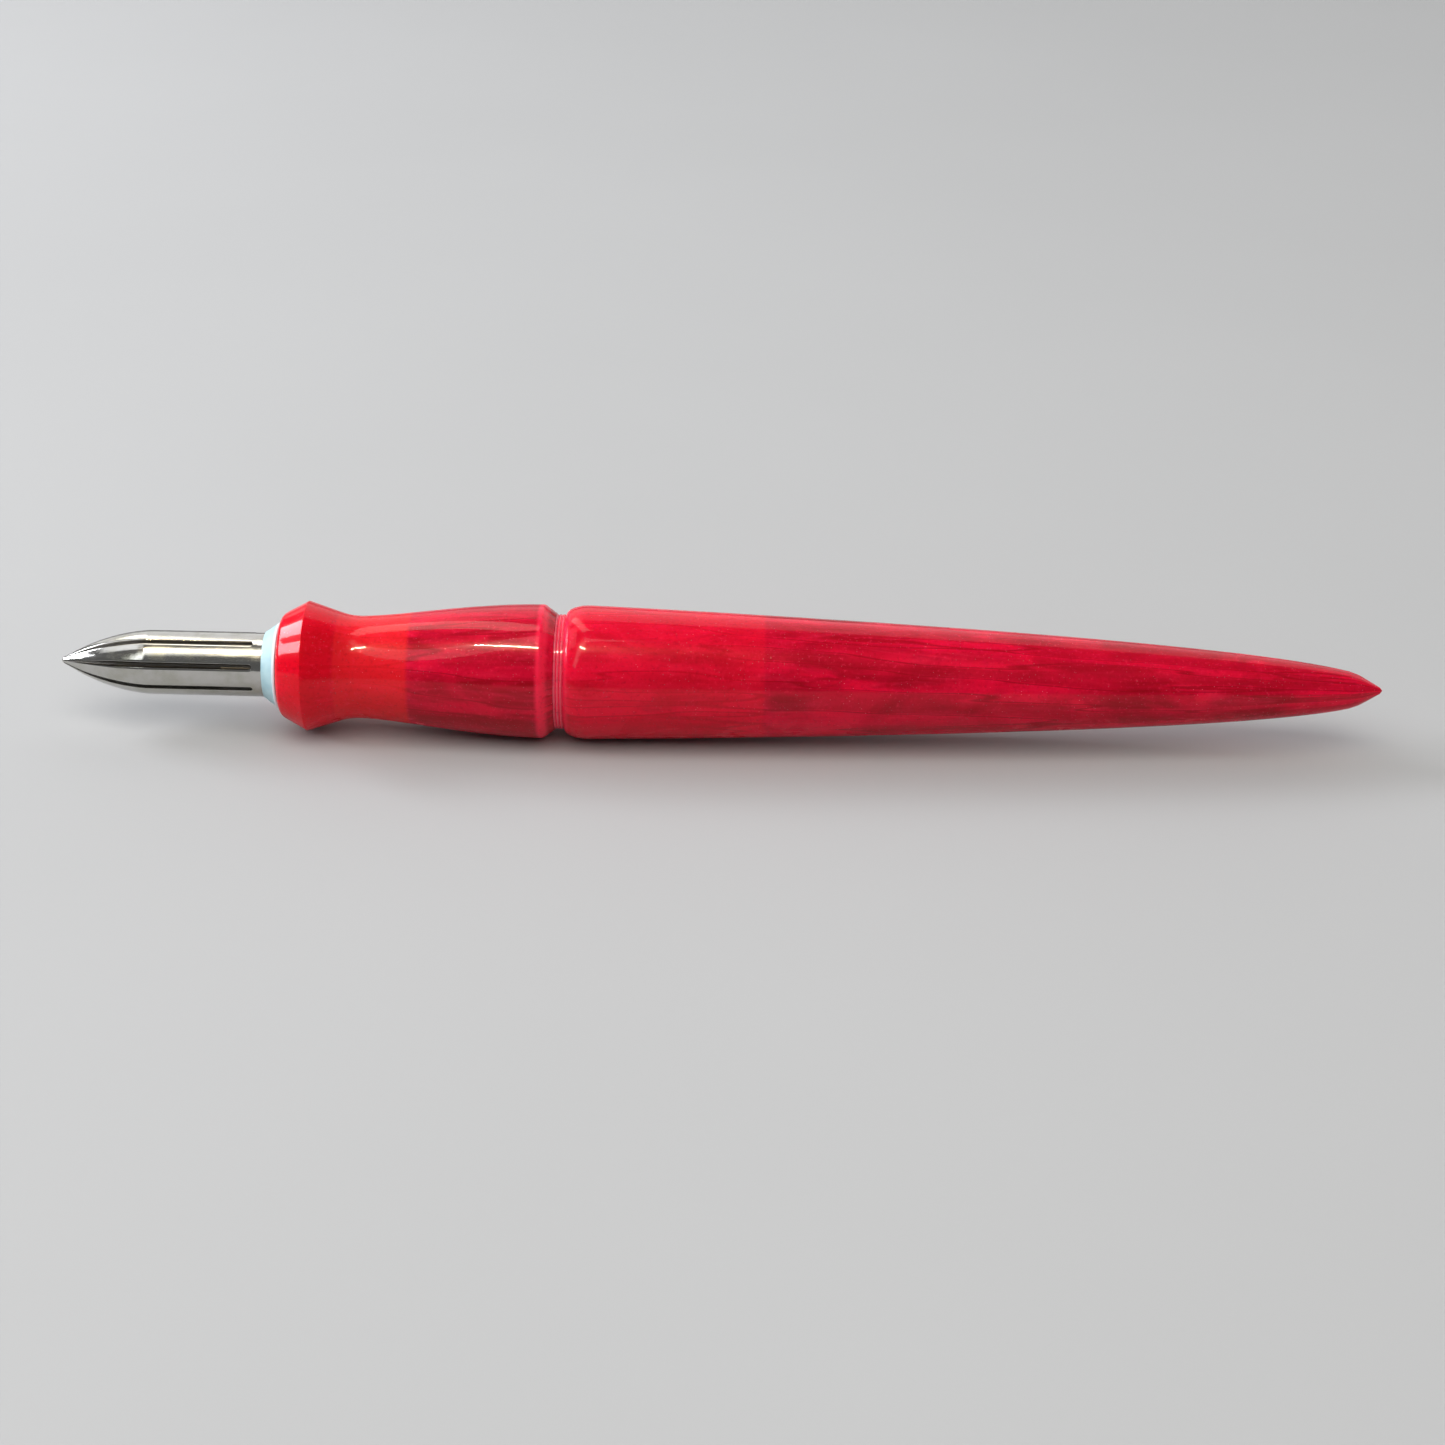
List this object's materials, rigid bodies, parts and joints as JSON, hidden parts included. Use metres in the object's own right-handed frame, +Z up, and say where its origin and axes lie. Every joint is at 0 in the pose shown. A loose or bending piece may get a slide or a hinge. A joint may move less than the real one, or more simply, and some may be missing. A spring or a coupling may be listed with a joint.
{
  "type": "dip pen",
  "caption": "Turned translucent red resin dip pen holder with a ridged grip, a pale nose collar and a pull-out fluted steel nib.",
  "frame": {"origin": "directly under the middle of the pen's length, on the surface that the pen lies on, at the lowest point of the barrel", "axes": "+X along the pen's axis from the nib's point towards the tail, +Z up, +Y to the left of someone looking from the point to the tail"},
  "size_m": [0.144, 0.0146, 0.0146],
  "materials": {
    "nib_steel": "polished stainless steel",
    "ring_rubber": "matte",
    "collar_plastic": "satin pale blue",
    "sleeve_brass": "machined",
    "stud_steel": "machined",
    "red_resin": "polished translucent pearl resin"
  },
  "bodies": {
    "holder_rear": {"barrel": "red_resin", "barrel_bushing": "sleeve_brass"},
    "neck": {"neck_ring": "red_resin"},
    "holder_front": {"grip_section": "red_resin", "nose_collar": "collar_plastic", "nib_sleeve": "sleeve_brass", "joint_stud": "stud_steel"},
    "nib_rings": {"front_nib_ring": "ring_rubber", "rear_nib_ring": "ring_rubber"},
    "nib": {"nib": "nib_steel"}
  },
  "joints": [
    {"name": "unscrew_travel", "type": "slide", "parent": "holder_rear", "child": "neck", "axis": [-1, 0, 0], "range_m": [0, 0.009]},
    {"name": "unscrew_turn", "type": "hinge", "parent": "neck", "child": "holder_front", "pos_m": [-0.0169, 0, 0.0073], "axis": [-1, 0, 0], "range_deg": [0, 3240]},
    {"name": "nib_pull", "type": "slide", "parent": "holder_front", "child": "nib_rings", "axis": [-1, 0, 0], "range_m": [0, 0.018]},
    {"name": "nib_turn", "type": "hinge", "parent": "nib_rings", "child": "nib", "pos_m": [-0.0417, 0, 0.0073], "axis": [-1, 0, 0], "continuous": true}
  ],
  "couplings": [
    {"joint": "unscrew_travel", "follows": "unscrew_turn", "m_per_rad": 0.00015915}
  ]
}
